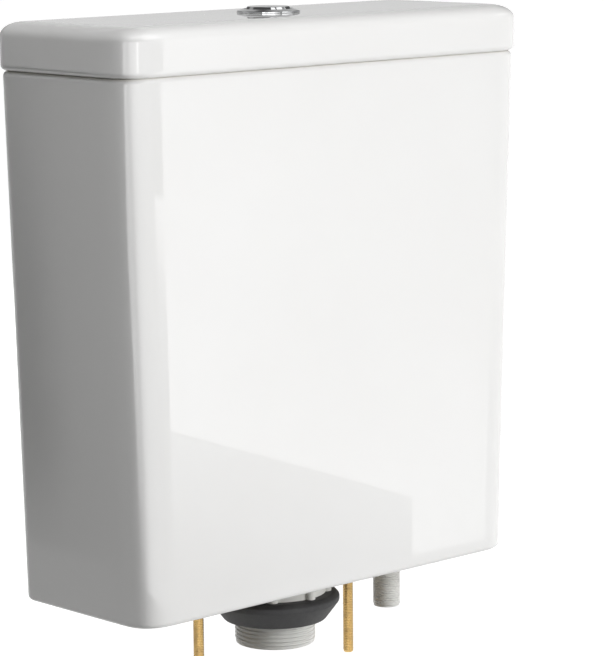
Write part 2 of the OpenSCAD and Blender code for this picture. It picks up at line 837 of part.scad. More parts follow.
// Upturned cup that slips on a link's strap
module link_float(z) {
    sleeve = [strap_t + 2 * (fit + link_float_wall), strap_w + 2 * (fit + link_float_wall)];
    inner = [link_float_w - 2 * link_float_wall, link_float_d - 2 * link_float_wall];
    corner = link_float_corner;
    translate([-strap_x - strap_t / 2, -rocker_y, z]) difference() {
        union() {
            difference() {
                linear_extrude(height = link_float_h) round_rect(link_float_w, link_float_d, corner);
                translate([0, 0, -cut]) linear_extrude(height = link_float_h - link_float_wall + cut)
                    round_rect(inner[0], inner[1], corner - link_float_wall);
            }
            linear_extrude(height = link_float_h) square(sleeve, center = true);
        }
        translate([0, 0, -cut]) linear_extrude(height = link_float_h + 2 * cut)
            square([strap_t + 2 * fit, strap_w + 2 * fit], center = true);
    }
}

module full_float() color("gainsboro") link_float(full_float_z);

module half_float() color("steelblue") rotate(180) link_float(half_float_z);

// Threaded inlet tail, its flange on the floor and the inner tube of the riser
module fill_shank() color("whitesmoke") translate([fill_x, 0, 0]) rotate_extrude() polygon([
    [inlet_bore_r, -inlet_len],
    [inlet_r, -inlet_len],
    [inlet_r, -inlet_nut_t],
    [inlet_neck_r, -inlet_nut_t],
    [inlet_neck_r, fill_flange_z],
    [fill_flange_r, fill_flange_z],
    [fill_flange_r, fill_flange_z + fill_flange_t],
    [shank_r, fill_flange_z + 2 * fill_flange_t],
    [shank_r, riser_z0 + riser_lap],
    [inlet_bore_r, riser_z0 + riser_lap]
]);

// Strainer basket in the mouth of the inlet
module inlet_filter() color("forestgreen") translate([fill_x, 0, -inlet_len]) difference() {
    r = inlet_bore_r - fit;
    cylinder(h = filter_h, r = r);
    translate([0, 0, -cut]) cylinder(h = filter_h - filter_wall + cut, r = r - filter_wall);
    for (turn = [0 : 45 : 135]) rotate(turn) translate([0, 0, filter_h / 2])
        cube([2 * inlet_bore, filter_wall * 1.5, filter_h / 2], center = true);
}

module fill_washer() color("dimgrey") translate([fill_x, 0, 0]) {
    ring(floor_t, fill_washer_t, fill_washer_r, inlet_neck_r + fit);
}

module fill_nut() color("whitesmoke") translate([fill_x, 0, 0]) difference() {
    union() {
        translate([0, 0, -inlet_nut_t]) cylinder(h = inlet_nut_t, r = inlet_nut_r, $fn = 6);
        translate([0, 0, -inlet_nut_t / 4]) cylinder(h = inlet_nut_t / 4, r = inlet_collar_r);
    }
    translate([0, 0, -inlet_nut_t - cut]) cylinder(h = inlet_nut_t + 2 * cut, r = inlet_neck_r + fit);
}

module fill_riser() color("white") translate([fill_x, 0, 0]) {
    ring(riser_z0, head_z0 + socket_depth - riser_z0, riser_r, riser_r - riser_wall);
}

// Ring that holds the riser at its height on the shank
module riser_lock() color("steelblue") translate([fill_x, 0, riser_z0]) difference() {
    union() {
        cylinder(h = lock_h, r = riser_r + lock_wall);
        for (rib = [1 : cap_ribs]) rotate(rib * 360 / cap_ribs)
            translate([riser_r + lock_wall, 0, 0]) cylinder(h = lock_h, r = rib_r);
    }
    translate([0, 0, -cut]) cylinder(h = lock_h + 2 * cut, r = riser_r + fit);
}

// Body of the valve on the riser, with outlet slots and a recess for the diaphragm
module fill_head() color("white") translate([fill_x, 0, 0]) difference() {
    translate([0, 0, head_z0]) cylinder(h = head_h, r = head_r_out);
    translate([0, 0, head_z0 - cut]) cylinder(h = socket_depth + cut, r = riser_r + fit);
    translate([0, 0, head_z0]) cylinder(h = head_h + cut, r = inlet_bore_r);
    translate([0, 0, head_z - diaphragm_t]) cylinder(h = diaphragm_t + cut, r = diaphragm_r + fit);
    for (turn = [45 : 90 : 315]) rotate(turn)
        translate([riser_r - riser_wall, -outlet_slot_w / 2, head_z0 + socket_depth + cut])
            cube([2 * head_wall + riser_wall, outlet_slot_w, outlet_slot_h]);
}

module fill_diaphragm() color("dimgrey") translate([fill_x, 0, head_z - diaphragm_t]) {
    cylinder(h = diaphragm_t, r = diaphragm_r);
}

// Ribbed cap over the diaphragm, with the pilot nozzle and the lever's two ears
module fill_cap() color("gainsboro") translate([fill_x, 0, 0]) {
    difference() {
        union() {
            translate([0, 0, head_z - cap_skirt]) cylinder(h = cap_skirt + cap_t, r = cap_r);
            for (rib = [1 : cap_ribs]) rotate(rib * 360 / cap_ribs)
                translate([cap_r, 0, head_z - cap_skirt]) cylinder(h = cap_skirt, r = rib_r);
        }
        translate([0, 0, head_z - cap_skirt - cut]) cylinder(h = cap_skirt + cut, r = head_r_out + fit);
    }
    translate([0, 0, cap_z1 - cut]) cylinder(h = nozzle_h + cut, r = nozzle_r);
    for (side = [-1, 1]) {
        translate([lever_pivot_x, side * ear_y, cap_z1 - cut]) upright(ear_t) difference() {
            union() {
                translate([-ear_r, 0]) square([2 * ear_r, lever_rise + cut]);
                translate([0, lever_rise + cut]) circle(ear_r);
            }
            translate([0, lever_rise + cut]) circle(lever_pin_r + fit);
        }
    }
}

// Lever from the nozzle over its pivot to the float's link, hanging down with the float
module fill_lever() color("steelblue") {
    nose = lever_rise - nozzle_h - gap;
    translate([fill_x + lever_pivot_x, 0, lever_pivot_z]) rotate([0, lever_drop, 0])
        upright(lever_w) difference() {
            union() {
                translate([-lever_pivot_x, -lever_half]) square([lever_pivot_x + slot_x1, 2 * lever_half]);
                translate([-lever_pivot_x - nozzle_r, -nose]) square([2 * nozzle_r, nose + lever_half]);
                translate([slot_x0, -lever_eye_r]) square([slot_x1 - slot_x0, 2 * lever_eye_r]);
                for (x = [slot_x0, slot_x1]) translate([x, 0]) circle(lever_eye_r);
            }
            circle(lever_pin_r + fit);
            translate([slot_x0, -slot_r]) square([slot_x1 - slot_x0, 2 * slot_r]);
            for (x = [slot_x0, slot_x1]) translate([x, 0]) circle(slot_r);
        }
}

module lever_pin() color("silver") {
    reach = ear_y + ear_t / 2 + lever_pin_over;
    translate([fill_x + lever_pivot_x, -reach, lever_pivot_z]) rotate([-90, 0, 0])
        cylinder(h = 2 * reach, r = lever_pin_r);
}

// Upturned annular cup round the riser, with an ear for the link
module float_cup() color("whitesmoke") translate([fill_x, 0, 0]) difference() {
    union() {
        rotate_extrude() polygon([
            [float_bore_r, float_z0],
            [float_bore_r + float_wall, float_z0],
            [float_bore_r + float_wall, float_z1 - float_wall],
            [float_r - float_edge, float_z1 - float_wall],
            [float_r - float_wall, float_z1 - float_edge],
            [float_r - float_wall, float_z0],
            [float_r, float_z0],
            [float_r, float_z1 - float_edge],
            [float_r - float_edge, float_z1],
            [float_bore_r, float_z1]
        ]);
        translate([float_ear_x, -float_ear_w / 2, float_ear_z0])
            cube([link_off + float_ear_over - float_ear_x, float_ear_w, float_ear_t]);
    }
    translate([link_off, 0, float_ear_z0 - cut]) cylinder(h = float_ear_t + 2 * cut, r = link_r + fit);
}

// Rod from the float's ear up to a fork, whose pin runs in the lever's slot
module float_link() color("whitesmoke") translate([fill_x + link_off, 0, 0]) {
    inside = lever_w / 2 + fork_room;
    bridge_z = link_pin_z - fork_drop - fork_bridge;
    rod_z = float_ear_z0 - float_nut_h - link_tail;
    translate([0, 0, rod_z]) cylinder(h = bridge_z + cut - rod_z, r = link_r);
    translate([-fork_half, -inside - fork_t, bridge_z])
        cube([2 * fork_half, 2 * (inside + fork_t), fork_bridge]);
    for (side = [-1, 1]) translate([0, side * (inside + fork_t / 2), bridge_z]) upright(fork_t) {
        translate([-fork_half, 0]) square([2 * fork_half, fork_drop + fork_bridge]);
        translate([0, fork_drop + fork_bridge]) circle(fork_half);
    }
    translate([0, -inside - fork_t, link_pin_z]) rotate([-90, 0, 0])
        cylinder(h = 2 * (inside + fork_t), r = link_pin_r);
}

// Thumb nuts that clamp the link to the float's ear, one above and one below
module float_nuts() color("gainsboro") translate([fill_x + link_off, 0, 0]) {
    for (z = [float_ear_z1, float_ear_z0 - float_nut_h]) translate([0, 0, z]) difference() {
        cylinder(h = float_nut_h, r = float_nut_r, $fn = 12);
        translate([0, 0, -cut]) cylinder(h = float_nut_h + 2 * cut, r = link_r + fit);
    }
}

module coupling_bolts() color("goldenrod") at_bolts() {
    translate([0, 0, -bolt_len]) cylinder(h = bolt_len + bolt_thread_in, r = bolt_r);
    cylinder(h = bolt_seat_z + cut, r = bolt_neck_r);
    translate([0, 0, bolt_seat_z]) cylinder(h = bolt_head_h, r = bolt_head_r, $fn = 6);
}

// Rubber cones that seal the bolts in the floor
module bolt_seals() color("dimgrey") at_bolts() translate([0, 0, floor_t]) rotate_extrude() polygon([
    [bolt_neck_r + fit, 0],
    [bolt_seal_r, 0],
    [bolt_seal_r, bolt_seal_t / 2],
    [bolt_washer_r, bolt_seal_t],
    [bolt_neck_r + fit, bolt_seal_t]
]);

module bolt_washers() color("silver") at_bolts() {
    ring(floor_t + bolt_seal_t, bolt_washer_t, bolt_washer_r, bolt_r + washer_room);
}

tank();
lid();
lid_buffers();
button_bezel();
button_sleeve();
button_nut();
button_gasket();
full_button();
half_button();
full_spring();
half_spring();
full_push_rod();
half_push_rod();
flush_base();
flush_washer();
flush_nut();
coupling_seal();
flush_cage();
tower_foot();
tower_posts();
tower_head();
full_rocker();
half_rocker();
rocker_pins();
overflow_tube();
flush_seal();
seal_retainer();
full_lift_link();
half_lift_link();
full_float();
half_float();
fill_shank();
inlet_filter();
fill_washer();
fill_nut();
fill_riser();
riser_lock();
fill_head();
fill_diaphragm();
fill_cap();
fill_lever();
lever_pin();
float_cup();
float_link();
float_nuts();
coupling_bolts();
bolt_seals();
bolt_washers();
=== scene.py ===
import json
import math

import bmesh
import bpy
from mathutils import Matrix, Vector


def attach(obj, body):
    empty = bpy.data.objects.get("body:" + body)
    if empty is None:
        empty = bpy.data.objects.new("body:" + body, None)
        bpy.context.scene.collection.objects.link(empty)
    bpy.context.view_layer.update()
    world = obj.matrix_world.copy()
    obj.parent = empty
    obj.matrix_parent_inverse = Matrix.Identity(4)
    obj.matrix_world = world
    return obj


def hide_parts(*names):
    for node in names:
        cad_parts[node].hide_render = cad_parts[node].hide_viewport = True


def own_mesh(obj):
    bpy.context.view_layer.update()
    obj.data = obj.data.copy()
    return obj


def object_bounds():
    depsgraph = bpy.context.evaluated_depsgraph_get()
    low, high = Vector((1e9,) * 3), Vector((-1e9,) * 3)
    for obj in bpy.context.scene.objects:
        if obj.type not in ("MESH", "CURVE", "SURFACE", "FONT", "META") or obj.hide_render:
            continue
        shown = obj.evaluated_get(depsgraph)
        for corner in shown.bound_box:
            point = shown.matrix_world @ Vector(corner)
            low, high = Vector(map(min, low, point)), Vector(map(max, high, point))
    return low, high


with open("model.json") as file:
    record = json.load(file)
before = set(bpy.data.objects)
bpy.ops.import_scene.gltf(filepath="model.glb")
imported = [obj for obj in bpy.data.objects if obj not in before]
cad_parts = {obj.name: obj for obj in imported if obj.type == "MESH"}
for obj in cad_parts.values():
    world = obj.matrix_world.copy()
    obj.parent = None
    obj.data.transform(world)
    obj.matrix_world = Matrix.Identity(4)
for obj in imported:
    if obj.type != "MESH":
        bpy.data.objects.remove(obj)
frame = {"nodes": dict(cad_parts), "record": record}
cad_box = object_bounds()

MM = 0.001
UP = (0, 0, 1)
BODY_OF = {node: body for body, nodes in frame["record"]["behaviour"]["bodies"].items() for node in nodes}
SLOT_OF = {row["node"]: row["material_slot"] for row in frame["record"]["subparts"]}


# Sizes, in millimetres

TANK_W, TANK_D, TANK_H = 386, 139, 376.6
SIDE_TAPER, FRONT_TAPER, WALL_BOW = 11.4, 2.2, 0.45
WALL, FLOOR, EDGE, RIM_R, COVE = 10, 12, 3.5, 2, 8
FRONT_R, FRONT_POWER, BACK_R, LEAST_R = 30, 3, 13, 2
CORNER_STEPS, SIDE_STEPS = 18, 8
LID_Z, LID_H, LID_TOP, LID_OVER, LID_FOOT = 377, 33.8, 12, 1.8, 4
LID_SAG, SAG_FROM, SAG_OVER = 0.3, 60, 6
LID_FACE = LID_Z + LID_H
LID_ROUND_W, LID_ROUND_H = 17, 10
LIP_IN, LIP_T, LIP_H, LIP_R, LID_COVE = 12, 5, 7, 1.5, 6
FLUSH_HOLE, SLEEVE_HOLE = 32, 20.2
INLET_X, INLET_HOLE = 116, 11.45
BOLT_X, BOLT_HOLE = 75, 5.5
SCREW_X, SCREW_Z, SCREW_HOLE = 125, 330, 4.25
GUIDE_R, SLEEVE_R, SLEEVE_FLANGE_R, BEZEL_R = 17.3, 19.6, 21.5, 22.7
BUTTON_R, BUTTON_SKIRT_R, BUTTON_BORE_R = 17, 17.7, 15.8
BUTTON_SPLIT, SPLIT_GAP = -6, 0.3
ROD_X, ROD_Y, ROD_HOLE = 10.920, 4.2, 2.35
SPRING_FOOT, SPRING_TOP = 383.0, 407.1
SPRING_R, SPRING_WIRE, SPRING_TURNS = 3.1, 0.4, 7.0
FLOAT_X = INLET_X + 55.055
FLOAT_NUT_Z = (219.75, 210.75)
THREAD_SINK, THREAD_SHARE = 0.02, 0.36


# Camera

CAMERA_AT = (-1.4599, -1.5922, 0.5284)
PHOTO_W, PHOTO_H, FOCAL_PX = 605, 656, 3007
YAW, PITCH, ROLL = math.radians(43.11), math.radians(9.12), math.radians(-0.539)


def set_camera():
    """Camera at the photograph's viewing angle."""
    ahead = Vector((math.sin(YAW) * math.cos(PITCH), math.cos(YAW) * math.cos(PITCH), -math.sin(PITCH)))
    level = Vector((math.cos(YAW), -math.sin(YAW), 0))
    above = level.cross(ahead)
    right = math.cos(ROLL) * level + math.sin(ROLL) * above
    up = math.cos(ROLL) * above - math.sin(ROLL) * level
    lens = bpy.data.cameras.new("camera")
    lens.sensor_width = 36
    lens.lens = FOCAL_PX / max(PHOTO_W, PHOTO_H) * lens.sensor_width
    lens.clip_end = 100
    camera = bpy.data.objects.new("camera", lens)
    camera.matrix_world = Matrix.Translation(CAMERA_AT) @ Matrix((right, up, -ahead)).transposed().to_4x4()
    bpy.context.scene.collection.objects.link(camera)
    bpy.context.scene.camera = camera


set_camera()


# Finishes

class Wire:
    """A socket in a finish. Sums on it add their Math nodes."""

    def __init__(self, paint, socket):
        self.paint, self.socket = paint, socket

    def _sum(self, operation, first, second):
        return self.paint.node("ShaderNodeMath", {"operation": operation}, {0: first, 1: second})

    def __add__(self, other):
        return self._sum("ADD", self, other)

    __radd__ = __add__

    def __sub__(self, other):
        return self._sum("SUBTRACT", self, other)

    def __rsub__(self, other):
        return self._sum("SUBTRACT", other, self)

    def __mul__(self, other):
        return self._sum("MULTIPLY", self, other)

    __rmul__ = __mul__

    def __lt__(self, other):
        return self._sum("LESS_THAN", self, other)

    def __gt__(self, other):
        return self._sum("GREATER_THAN", self, other)


class Paint:
    """A finish, or the room's light, laid node by node."""

    def __init__(self, name, shelf=bpy.data.materials):
        self.material = shelf.new(name)
        self.material.use_nodes = True
        self.tree = self.material.node_tree
        self.tree.nodes.clear()

    def node(self, kind, settings=None, sockets=None, out=0):
        """A node with its settings, then its sockets' values or links; gives one of its outputs, if any."""
        made = self.tree.nodes.new(kind)
        for name, value in (settings or {}).items():
            setattr(made, name, value)
        for name, value in (sockets or {}).items():
            socket = made.inputs[name] if isinstance(name, int) else next(
                s for s in made.inputs if name in (s.identifier, s.name))
            if isinstance(value, Wire):
                self.tree.links.new(value.socket, socket)
            else:
                socket.default_value = value
        return Wire(self, made.outputs[out]) if made.outputs else None

    def where(self, scale=(1, 1, 1)):
        """Place on the piece, in metres, stretched by scale."""
        place = self.node("ShaderNodeTexCoord", out="Object")
        if scale == (1, 1, 1):
            return place
        return self.node("ShaderNodeMapping", None, {"Vector": place, "Scale": scale})

    def noise(self, scale, detail, vector=None, roughness=0.5):
        """Smooth noise from 0 to 1, in swells of about 1/scale metres."""
        place = vector or self.where()
        return self.node("ShaderNodeTexNoise", None, {
            "Vector": place, "Scale": scale, "Detail": detail, "Roughness": roughness}, "Fac")

    def ease(self, value, low, high, to_low=0, to_high=1):
        """Carries a value from low to high over to another range, clamped."""
        return self.node("ShaderNodeMapRange", {"clamp": True}, {
            "Value": value, "From Min": low, "From Max": high, "To Min": to_low, "To Max": to_high})

    def mix(self, share, first, second):
        """Colour between two colours."""
        return self.node("ShaderNodeMix", {"data_type": "RGBA"}, {
            "Factor_Float": share, "A_Color": first, "B_Color": second}, 2)

    def bump(self, height, distance, strength, under=None):
        """Normal from a height; distance is the depth of a full step, in metres."""
        sockets = {"Height": height, "Distance": distance, "Strength": strength}
        if under:
            sockets["Normal"] = under
        return self.node("ShaderNodeBump", None, sockets)

    def surface(self, **sockets):
        """Ends the finish in a Principled shader; underscores in the names stand for spaces."""
        named = {name.replace("_", " "): value for name, value in sockets.items()}
        return self.end(self.node("ShaderNodeBsdfPrincipled", None, named))

    def end(self, shader, output="ShaderNodeOutputMaterial"):
        """Joins the shader to the output, and gives what was laid."""
        self.node(output, None, {"Surface": shader})
        return self.material


def colour(r, g, b):
    """An opaque colour."""
    return (r, g, b, 1)


def glaze():
    """White glaze over fired clay, bare on the faces that stand on something."""
    paint = Paint("glaze")
    normal = paint.node("ShaderNodeNewGeometry", out="True Normal")
    facing = paint.node("ShaderNodeSeparateXYZ", None, {0: normal}, "Z")
    height = paint.node("ShaderNodeSeparateXYZ", None, {0: paint.where()}, "Z")
    tank_foot = height < 3 * MM
    lid_foot = (height > (LID_Z - LIP_H - 1) * MM) * (height < (LID_Z + 0.4) * MM)
    bare = (facing < -0.97) * (tank_foot + lid_foot)
    cloud = paint.noise(7, 3)
    speck = paint.ease(paint.node("ShaderNodeTexVoronoi", None, {
        "Vector": paint.where(), "Scale": 420, "Randomness": 1}, "Distance"), 0.02, 0.05, 1, 0)
    speck = speck * (paint.noise(60, 1) > 0.68)
    white = paint.mix(paint.ease(cloud, 0.3, 0.7), colour(0.852, 0.848, 0.838), colour(0.872, 0.870, 0.862))
    white = paint.mix(speck * 0.12, white, colour(0.62, 0.58, 0.50))
    clay = paint.mix(paint.noise(900, 4), colour(0.70, 0.64, 0.55), colour(0.82, 0.78, 0.70))
    peel = paint.noise(95, 2)
    grain = paint.noise(1600, 3) * bare
    return paint.surface(
        Base_Color=paint.mix(bare, white, clay),
        Roughness=paint.ease(paint.noise(30, 2), 0.3, 0.7, 0.02, 0.04) * (1 - bare) + bare * 0.78,
        IOR=1.52,
        Normal=paint.bump(grain, 0.0002, 0.7, paint.bump(peel, 0.00012, 0.008)))


def chrome():
    """Bright plating with hairline scratches."""
    paint = Paint("chrome")
    hair = paint.noise(900, 2, paint.where((1, 6, 14)))
    smear = paint.noise(70, 3)
    tone = paint.mix(paint.ease(smear, 0.3, 0.7), colour(0.37, 0.375, 0.38), colour(0.43, 0.435, 0.44))
    return paint.surface(
        Base_Color=tone, Metallic=1.0,
        Roughness=paint.ease(smear, 0.35, 0.75, 0.035, 0.09),
        Normal=paint.bump(hair, 0.00002, 0.12))


def plastic(name, dark, light, rough=0.36):
    """Injection moulded plastic: flow clouds, a fine mould texture and a few scuffs."""
    paint = Paint(name)
    cloud = paint.noise(28, 3)
    flow = paint.noise(55, 2, paint.where((1, 1, 0.25)))
    scuff = paint.ease(paint.noise(240, 4, paint.where((1, 1, 0.15))), 0.62, 0.72)
    tone = paint.mix(paint.ease(cloud * 0.6 + flow * 0.4, 0.35, 0.65), dark, light)
    tone = paint.mix(scuff * 0.16, tone, tuple(min(1, 0.5 * c + 0.4) for c in light[:3]) + (1,))
    pores = paint.noise(2600, 2)
    return paint.surface(
        Base_Color=tone,
        Roughness=paint.ease(flow, 0.3, 0.7, rough - 0.05, rough + 0.06) + scuff * 0.1,
        IOR=1.49,
        Normal=paint.bump(pores, 0.00006, 0.1))


def rubber(name, dark, light, rough=0.62):
    """Moulded rubber with a chalky bloom."""
    paint = Paint(name)
    bloom = paint.ease(paint.noise(46, 4, roughness=0.62), 0.42, 0.74)
    pits = paint.noise(1500, 3)
    return paint.surface(
        Base_Color=paint.mix(bloom, dark, light),
        Roughness=paint.ease(pits, 0.3, 0.7, rough - 0.06, rough + 0.08) + bloom * 0.08,
        IOR=1.5,
        Normal=paint.bump(pits, 0.00012, 0.25))


def foam():
    """Closed cell foam, with the cells cut open on the surface."""
    paint = Paint("foam_rubber")
    cells = paint.node("ShaderNodeTexVoronoi", None, {"Vector": paint.where(), "Scale": 1900}, "Distance")
    cloud = paint.noise(60, 3)
    tone = paint.mix(paint.ease(cells, 0.1, 0.6), colour(0.30, 0.30, 0.29), colour(0.52, 0.52, 0.50))
    return paint.surface(
        Base_Color=paint.mix(paint.ease(cloud, 0.4, 0.7) * 0.4, tone, colour(0.58, 0.57, 0.53)),
        Roughness=paint.ease(cells, 0, 0.6, 0.95, 0.8),
        Normal=paint.bump(cells, 0.00025, 0.6))


def steel():
    """Drawn stainless steel with grinding lines."""
    paint = Paint("steel")
    lines = paint.noise(700, 3, paint.where((1, 1, 9)))
    cloud = paint.noise(90, 2)
    return paint.surface(
        Base_Color=paint.mix(paint.ease(cloud, 0.3, 0.7), colour(0.50, 0.51, 0.52), colour(0.62, 0.63, 0.64)),
        Metallic=1.0,
        Roughness=paint.ease(lines, 0.25, 0.75, 0.2, 0.36),
        Normal=paint.bump(lines, 0.00004, 0.2))


def brass():
    """Turned brass, dulled in patches."""
    paint = Paint("brass")
    dull = paint.ease(paint.noise(130, 4, roughness=0.6), 0.46, 0.72)
    lines = paint.noise(800, 2, paint.where((1, 1, 7)))
    return paint.surface(
        Base_Color=paint.mix(dull, colour(0.68, 0.48, 0.20), colour(0.52, 0.36, 0.16)),
        Metallic=paint.ease(dull, 0, 1, 1, 0.82),
        Roughness=paint.ease(lines, 0.25, 0.75, 0.2, 0.3) + dull * 0.22,
        Normal=paint.bump(lines, 0.00004, 0.2))


FINISH = {
    "glaze": glaze(),
    "chrome": chrome(),
    "white_plastic": plastic("white_plastic", colour(0.72, 0.72, 0.69), colour(0.80, 0.80, 0.775)),
    "grey_plastic": plastic("grey_plastic", colour(0.33, 0.345, 0.36), colour(0.40, 0.415, 0.43)),
    "blue_plastic": plastic("blue_plastic", colour(0.028, 0.105, 0.27), colour(0.045, 0.145, 0.34), 0.32),
    "green_plastic": plastic("green_plastic", colour(0.03, 0.16, 0.07), colour(0.05, 0.21, 0.10), 0.45),
    "black_rubber": rubber("black_rubber", colour(0.017, 0.017, 0.018), colour(0.045, 0.045, 0.045)),
    "red_rubber": rubber("red_rubber", colour(0.30, 0.022, 0.016), colour(0.38, 0.045, 0.032), 0.45),
    "foam_rubber": foam(),
    "steel": steel(),
    "brass": brass(),
}


# Mesh work

def spaced(start, end, steps):
    """Even steps from start to end, with both."""
    return [start + (end - start) * k / steps for k in range(steps + 1)]


def new_piece(name, mesh):
    """An object at the origin with this mesh."""
    piece = bpy.data.objects.new(name, mesh)
    bpy.context.scene.collection.objects.link(piece)
    return piece


def settle(piece):
    """Works the piece's modifiers into a plain mesh."""
    view = bpy.context.evaluated_depsgraph_get()
    plain = bpy.data.meshes.new_from_object(
        piece.evaluated_get(view), preserve_all_data_layers=True, depsgraph=view)
    piece.modifiers.clear()
    piece.data = plain
    return piece


def shade(piece, sharp=38, bevel=0, segments=2):
    """Rounds the piece's sharp edges by bevel millimetres and evens its shading."""
    piece.data.shade_smooth()
    if bevel:
        round_off = piece.modifiers.new("round_off", "BEVEL")
        round_off.width, round_off.segments = bevel * MM, segments
        round_off.limit_method, round_off.angle_limit = "ANGLE", math.radians(sharp)
        round_off.use_clamp_overlap = True
        round_off.miter_outer = "MITER_ARC"
    even = piece.modifiers.new("even", "WEIGHTED_NORMAL")
    even.mode, even.weight, even.keep_sharp = "FACE_AREA", 80, True
    return settle(piece)


def fit(piece, node):
    """Puts the piece in its node's place, with the node's finish, on its body."""
    slot = SLOT_OF[node]
    piece.data.materials.clear()
    piece.data.materials.append(FINISH[slot])
    for face in piece.data.polygons:
        face.material_index = 0
    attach(piece, BODY_OF[node])
    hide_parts(node)


def mesh_of(name, points, faces):
    """Mesh from points in millimetres, with its faces turned outwards."""
    mesh = bpy.data.meshes.new(name)
    mesh.from_pydata([Vector(p) * MM for p in points], [], faces)
    work = bmesh.new()
    work.from_mesh(mesh)
    bmesh.ops.remove_doubles(work, verts=work.verts, dist=1e-7)
    bmesh.ops.recalc_face_normals(work, faces=work.faces)
    work.to_mesh(mesh)
    work.free()
    return mesh


def skin(rings, closed):
    """Quads over rings of points; closed joins the last ring to the first, otherwise both ends get a face."""
    count = len(rings[0])
    faces = []
    for k in range(len(rings) if closed else len(rings) - 1):
        a, b = k * count, (k + 1) % len(rings) * count
        faces += [(a + i, a + (i + 1) % count, b + (i + 1) % count, b + i) for i in range(count)]
    if not closed:
        faces += [tuple(range(count)), tuple(range((len(rings) - 1) * count, len(rings) * count))]
    return [p for ring in rings for p in ring], faces


def skinned(name, rings, closed):
    """Piece with a skin over rings of points in millimetres."""
    return new_piece(name, mesh_of(name, *skin(rings, closed)))


def rounded(corners, steps):
    """Section through (r, z) corners; a third number on a corner rounds it by that radius."""
    line = []
    for i, corner in enumerate(corners):
        here = Vector(corner[:2])
        if len(corner) < 3:
            line.append(here)
            continue
        back = (Vector(corners[i - 1][:2]) - here).normalized()
        on = (Vector(corners[(i + 1) % len(corners)][:2]) - here).normalized()
        half = math.acos(max(-1, min(1, back.dot(on)))) / 2
        reach = corner[2] / math.tan(half)
        middle = here + (back + on).normalized() * (corner[2] / math.sin(half))
        a, b = here + back * reach - middle, here + on * reach - middle
        turn = a.angle_signed(b)
        for t in spaced(0, -turn, steps):
            c, s = math.cos(t), math.sin(t)
            line.append(middle + Vector((a.x * c - a.y * s, a.x * s + a.y * c)))
    return line


def turned(name, corners, at=(0, 0), sides=96, steps=6):
    """Piece turned about an upright axis from a closed section in millimetres."""
    line = rounded(corners, steps)
    rings = []
    for k in range(sides):
        c, s = math.cos(math.tau * k / sides), math.sin(math.tau * k / sides)
        rings.append([(at[0] + p.x * c, at[1] + p.x * s, p.y) for p in line])
    return skinned(name, rings, True)


def drill(piece, holes):
    """Cuts round holes: (x, y, z of the start, direction, length, radius), in millimetres."""
    work = bmesh.new()
    for x, y, z, direction, length, radius in holes:
        place = Vector((x, y, z)) + Vector(direction) * (length / 2)
        turn = Vector(UP).rotation_difference(Vector(direction)).to_matrix().to_4x4()
        bmesh.ops.create_cone(work, cap_ends=True, segments=64, radius1=radius * MM, radius2=radius * MM,
                              depth=length * MM, matrix=Matrix.Translation(place * MM) @ turn)
    mesh = bpy.data.meshes.new("bits")
    work.to_mesh(mesh)
    work.free()
    bits = new_piece("bits", mesh)
    cut = piece.modifiers.new("cut", "BOOLEAN")
    cut.object, cut.operation, cut.solver = bits, "DIFFERENCE", "EXACT"
    settle(piece)
    bpy.data.objects.remove(bits)
    return piece


def joined(piece, *others):
    """One piece from several meshes."""
    work = bmesh.new()
    for part in (piece, *others):
        work.from_mesh(part.data)
    work.to_mesh(piece.data)
    work.free()
    for part in others:
        bpy.data.objects.remove(part)
    return piece


# Tank and lid

def bend_point(angle, power):
    """Point on a round of radius 1; a power above 2 makes it squarer."""
    return Vector([math.copysign(max(abs(share) - 1e-12, 0) ** (2 / power), share)
                   for share in (math.cos(angle), math.sin(angle))])


def plan(half, front, back, front_r, back_r, inset, z, bow=0):
    """Plan drawn in by inset, its corners round, squarer at the front, its front and sides slightly bowed."""
    bends = []
    for x, y, side, inward, radius, start, power in (
            (half, front, 1, 1, front_r, -90, FRONT_POWER), (half, back, 1, -1, back_r, 0, 2),
            (-half, back, -1, -1, back_r, 90, 2), (-half, front, -1, 1, front_r, 180, FRONT_POWER)):
        r = max(radius - inset, LEAST_R)
        middle = Vector((x - side * (inset + r), y + inward * (inset + r)))
        bends.append([middle + r * bend_point(math.radians(turn), power)
                      for turn in spaced(start, start + 90, CORNER_STEPS)])
    ring = []
    for bend, after, swell in zip(bends, bends[1:] + bends[:1], (0.5 * bow, 0, 0.5 * bow, bow)):
        a, b = bend[-1], after[0]
        out = Vector((b.y - a.y, a.x - b.x)).normalized()
        ring += bend
        ring += [a.lerp(b, t) + out * (swell * 4 * t * (1 - t)) for t in spaced(0, 1, SIDE_STEPS)[1:-1]]
    return [(p.x, p.y, z) for p in ring]


def arc(inset, z, radius, start, end, steps=8, rise=None):
    """Inset and height along a round about (inset, z); rise is its height where that isn't its radius."""
    return [(inset + radius * math.cos(math.radians(a)), z + (rise or radius) * math.sin(math.radians(a)))
            for a in spaced(start, end, steps)]


